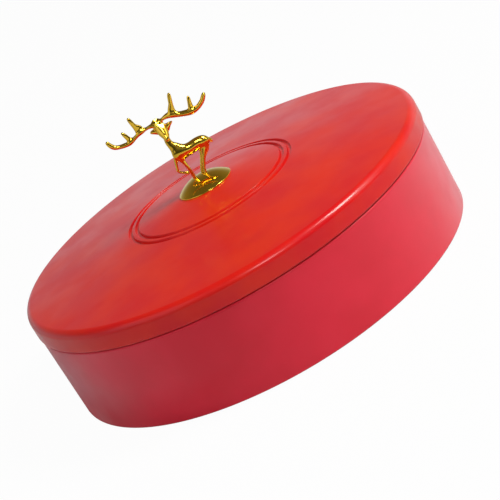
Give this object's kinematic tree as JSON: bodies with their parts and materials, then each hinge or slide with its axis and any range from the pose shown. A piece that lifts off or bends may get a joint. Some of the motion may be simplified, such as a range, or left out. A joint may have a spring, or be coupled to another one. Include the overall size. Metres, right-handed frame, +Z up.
{
  "type": "snack box",
  "caption": "Round lidded snack box with loose sweet trays inside, a crowned lift-off lid and a gold deer figure on a dome as the lid's handle",
  "frame": {"origin": "on the table, at the middle of the underside of the foot pads", "axes": "+Z up through the deer; -Y towards the side from which the deer is seen from its left; +X towards the deer's tail"},
  "size_m": [0.26, 0.26, 0.1385],
  "materials": {
    "base_red": "satin moulded red plastic",
    "lid_red": "satin moulded red plastic",
    "tray_red": "smooth moulded red plastic",
    "gold_cast": "polished cast metal, gold plated",
    "steel": "zinc plated",
    "pad_rubber": "soft matt rubber"
  },
  "bodies": {
    "base": {"base_shell": "base_red", "foot_pad_1": "pad_rubber", "foot_pad_2": "pad_rubber", "foot_pad_3": "pad_rubber", "foot_pad_4": "pad_rubber"},
    "lid": {"lid_shell": "lid_red", "knob_base": "gold_cast", "deer_figure": "gold_cast", "handle_screw": "steel", "screw_washer": "steel"},
    "centre_tray_body": {"centre_tray": "tray_red"},
    "sector_tray_1_body": {"sector_tray_1": "tray_red"},
    "sector_tray_2_body": {"sector_tray_2": "tray_red"},
    "sector_tray_3_body": {"sector_tray_3": "tray_red"},
    "sector_tray_4_body": {"sector_tray_4": "tray_red"},
    "sector_tray_5_body": {"sector_tray_5": "tray_red"},
    "sector_tray_6_body": {"sector_tray_6": "tray_red"}
  },
  "joints": [
    {"name": "lid_lift", "type": "slide", "parent": "base", "child": "lid", "axis": [0, 0, 1], "range_m": [0, 0.16]},
    {"name": "centre_tray_lift", "type": "slide", "parent": "base", "child": "centre_tray_body", "axis": [0, 0, 1], "range_m": [0, 0.1]},
    {"name": "sector_tray_1_lift", "type": "slide", "parent": "base", "child": "sector_tray_1_body", "axis": [0, 0, 1], "range_m": [0, 0.07]},
    {"name": "sector_tray_2_lift", "type": "slide", "parent": "base", "child": "sector_tray_2_body", "axis": [0, 0, 1], "range_m": [0, 0.07]},
    {"name": "sector_tray_3_lift", "type": "slide", "parent": "base", "child": "sector_tray_3_body", "axis": [0, 0, 1], "range_m": [0, 0.07]},
    {"name": "sector_tray_4_lift", "type": "slide", "parent": "base", "child": "sector_tray_4_body", "axis": [0, 0, 1], "range_m": [0, 0.07]},
    {"name": "sector_tray_5_lift", "type": "slide", "parent": "base", "child": "sector_tray_5_body", "axis": [0, 0, 1], "range_m": [0, 0.07]},
    {"name": "sector_tray_6_lift", "type": "slide", "parent": "base", "child": "sector_tray_6_body", "axis": [0, 0, 1], "range_m": [0, 0.07]}
  ],
  "couplings": [
    {"joint": "centre_tray_lift", "follows": "lid_lift", "ratio": 0.625},
    {"joint": "sector_tray_1_lift", "follows": "lid_lift", "ratio": 0.4375},
    {"joint": "sector_tray_2_lift", "follows": "lid_lift", "ratio": 0.4375},
    {"joint": "sector_tray_3_lift", "follows": "lid_lift", "ratio": 0.4375},
    {"joint": "sector_tray_4_lift", "follows": "lid_lift", "ratio": 0.4375},
    {"joint": "sector_tray_5_lift", "follows": "lid_lift", "ratio": 0.4375},
    {"joint": "sector_tray_6_lift", "follows": "lid_lift", "ratio": 0.4375}
  ]
}
